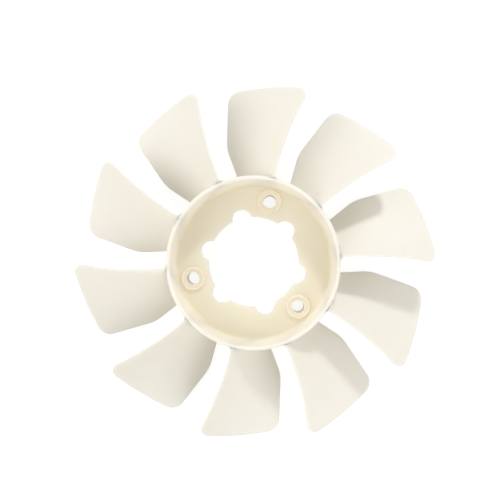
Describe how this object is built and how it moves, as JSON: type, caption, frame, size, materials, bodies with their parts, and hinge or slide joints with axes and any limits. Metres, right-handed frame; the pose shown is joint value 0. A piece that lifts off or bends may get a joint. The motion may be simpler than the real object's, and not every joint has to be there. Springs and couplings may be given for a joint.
{
  "type": "axial_fan_impeller",
  "caption": "Axial fan impeller moulded in one piece, a shallow cup hub with curved, twisted blades around it and a bolted opening in its web",
  "frame": {"origin": "on the fan's axis, in the plane of the hub's rear rim", "axes": "+Z along the fan's axis, out of the open cup; +X towards the root of the near edge of the first blade; +Y a quarter turn anticlockwise from +X seen from the front"},
  "size_m": [0.18, 0.18, 0.024],
  "materials": {
    "nylon": "natural nylon as moulded, off white, dull satin with a faint grain"
  },
  "bodies": {
    "root": {"impeller": "nylon"}
  },
  "joints": []
}
